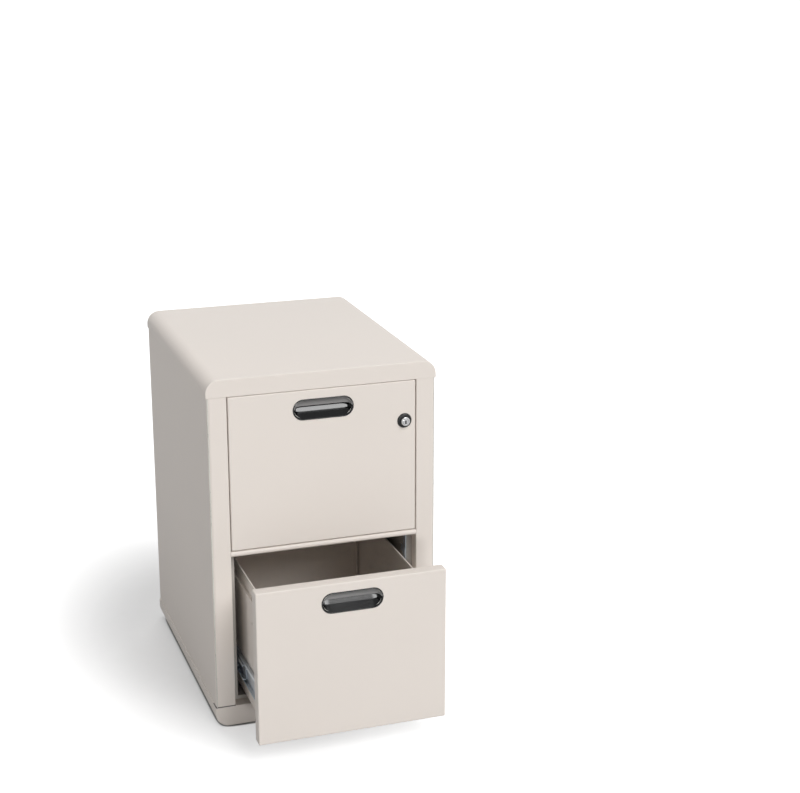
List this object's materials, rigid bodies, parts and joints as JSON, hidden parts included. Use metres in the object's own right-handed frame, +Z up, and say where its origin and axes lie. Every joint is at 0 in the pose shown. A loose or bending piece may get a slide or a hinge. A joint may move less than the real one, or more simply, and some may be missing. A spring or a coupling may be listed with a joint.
{
  "type": "insulated filing cabinet",
  "caption": "Free-standing insulated steel filing cabinet with telescopic drawers, recessed pulls and a plunger lock that works a gang bar; one drawer stands open.",
  "frame": {"origin": "middle of the base, on the floor", "axes": "+X to the right seen from the front, -Y out of the front with the drawers' pulls, +Z up"},
  "size_m": [0.4508, 0.7389, 0.7048],
  "materials": {
    "body_paint": "satin textured off-white enamel",
    "head_paint": "satin off-white enamel",
    "drawer_steel": "satin off-white enamel on sheet steel",
    "liner_steel": "plain grey-beige primer",
    "zinc_steel": "bright zinc plate",
    "insulation": "cast mineral fill",
    "pull_plastic": "gloss black",
    "lock_chrome": "polished",
    "lock_black": "gloss black",
    "pad_rubber": "matt black"
  },
  "bodies": {
    "cabinet": {"base_casing": "body_paint", "base_insulation": "insulation", "cap_casing": "body_paint", "cap_insulation": "insulation", "side_panel_left": "body_paint", "side_panel_right": "body_paint", "back_panel": "body_paint", "cross_rail": "body_paint", "upper_liner": "liner_steel", "lower_liner": "liner_steel", "body_insulation": "insulation", "slide_screws": "zinc_steel", "lock_bar_guides": "zinc_steel", "upper_cabinet_slide_left": "zinc_steel", "upper_cabinet_slide_right": "zinc_steel", "lower_cabinet_slide_left": "zinc_steel", "lower_cabinet_slide_right": "zinc_steel"},
    "upper_drawer": {"upper_head_shell": "head_paint", "upper_head_cover": "drawer_steel", "upper_head_insulation": "insulation", "upper_pull": "pull_plastic", "upper_side_left": "drawer_steel", "upper_side_right": "drawer_steel", "upper_folder_rail_left": "drawer_steel", "upper_folder_rail_right": "drawer_steel", "upper_bottom": "drawer_steel", "upper_back": "drawer_steel", "upper_bumpers": "pad_rubber", "upper_catch": "zinc_steel", "upper_rivets": "drawer_steel", "upper_drawer_slide_left": "zinc_steel", "upper_drawer_slide_right": "zinc_steel", "lock_bezel": "lock_black"},
    "lower_drawer": {"lower_head_shell": "head_paint", "lower_head_cover": "drawer_steel", "lower_head_insulation": "insulation", "lower_pull": "pull_plastic", "lower_side_left": "drawer_steel", "lower_side_right": "drawer_steel", "lower_folder_rail_left": "drawer_steel", "lower_folder_rail_right": "drawer_steel", "lower_bottom": "drawer_steel", "lower_back": "drawer_steel", "lower_bumpers": "pad_rubber", "lower_catch": "zinc_steel", "lower_rivets": "drawer_steel", "lower_drawer_slide_left": "zinc_steel", "lower_drawer_slide_right": "zinc_steel"},
    "lock_bar": {"lock_bar": "zinc_steel"},
    "lock_plunger": {"lock_plunger": "lock_chrome"},
    "key_plug": {"key_plug": "lock_chrome"},
    "upper_middle_slides": {"upper_middle_slide_left": "zinc_steel", "upper_middle_slide_right": "zinc_steel"},
    "upper_outer_cages": {"upper_outer_cages": "zinc_steel"},
    "upper_inner_cages": {"upper_inner_cages": "zinc_steel"},
    "lower_middle_slides": {"lower_middle_slide_left": "zinc_steel", "lower_middle_slide_right": "zinc_steel"},
    "lower_outer_cages": {"lower_outer_cages": "zinc_steel"},
    "lower_inner_cages": {"lower_inner_cages": "zinc_steel"}
  },
  "joints": [
    {"name": "upper_drawer_slide", "type": "slide", "parent": "cabinet", "child": "upper_drawer", "axis": [0, -1, 0], "range_m": [0, 0.4]},
    {"name": "upper_middle_slides_slide", "type": "slide", "parent": "cabinet", "child": "upper_middle_slides", "axis": [0, -1, 0], "range_m": [0, 0.2]},
    {"name": "upper_outer_cages_slide", "type": "slide", "parent": "cabinet", "child": "upper_outer_cages", "axis": [0, -1, 0], "range_m": [0, 0.3]},
    {"name": "upper_inner_cages_slide", "type": "slide", "parent": "cabinet", "child": "upper_inner_cages", "axis": [0, -1, 0], "range_m": [0, 0.1]},
    {"name": "lower_drawer_slide", "type": "slide", "parent": "cabinet", "child": "lower_drawer", "axis": [0, -1, 0], "range_m": [-0.176, 0.224]},
    {"name": "lower_middle_slides_slide", "type": "slide", "parent": "cabinet", "child": "lower_middle_slides", "axis": [0, -1, 0], "range_m": [-0.088, 0.112]},
    {"name": "lower_outer_cages_slide", "type": "slide", "parent": "cabinet", "child": "lower_outer_cages", "axis": [0, -1, 0], "range_m": [-0.132, 0.168]},
    {"name": "lower_inner_cages_slide", "type": "slide", "parent": "cabinet", "child": "lower_inner_cages", "axis": [0, -1, 0], "range_m": [-0.044, 0.056]},
    {"name": "lock_push", "type": "slide", "parent": "upper_drawer", "child": "lock_plunger", "axis": [0, 1, 0], "range_m": [0, 0.008], "stiffness_N_per_m": 300},
    {"name": "key_turn", "type": "hinge", "parent": "lock_plunger", "child": "key_plug", "pos_m": [0.1615, -0.2806, 0.59], "axis": [0, 1, 0], "range_deg": [0, 90]},
    {"name": "lock_bar_lift", "type": "slide", "parent": "cabinet", "child": "lock_bar", "axis": [0, 0, 1], "range_m": [0, 0.008]}
  ],
  "couplings": [
    {"joint": "upper_middle_slides_slide", "follows": "upper_drawer_slide", "ratio": 0.5},
    {"joint": "upper_outer_cages_slide", "follows": "upper_drawer_slide", "ratio": 0.75},
    {"joint": "upper_inner_cages_slide", "follows": "upper_drawer_slide", "ratio": 0.25},
    {"joint": "lower_middle_slides_slide", "follows": "lower_drawer_slide", "ratio": 0.5},
    {"joint": "lower_outer_cages_slide", "follows": "lower_drawer_slide", "ratio": 0.75},
    {"joint": "lower_inner_cages_slide", "follows": "lower_drawer_slide", "ratio": 0.25},
    {"joint": "lock_bar_lift", "follows": "lock_push", "ratio": 1}
  ]
}
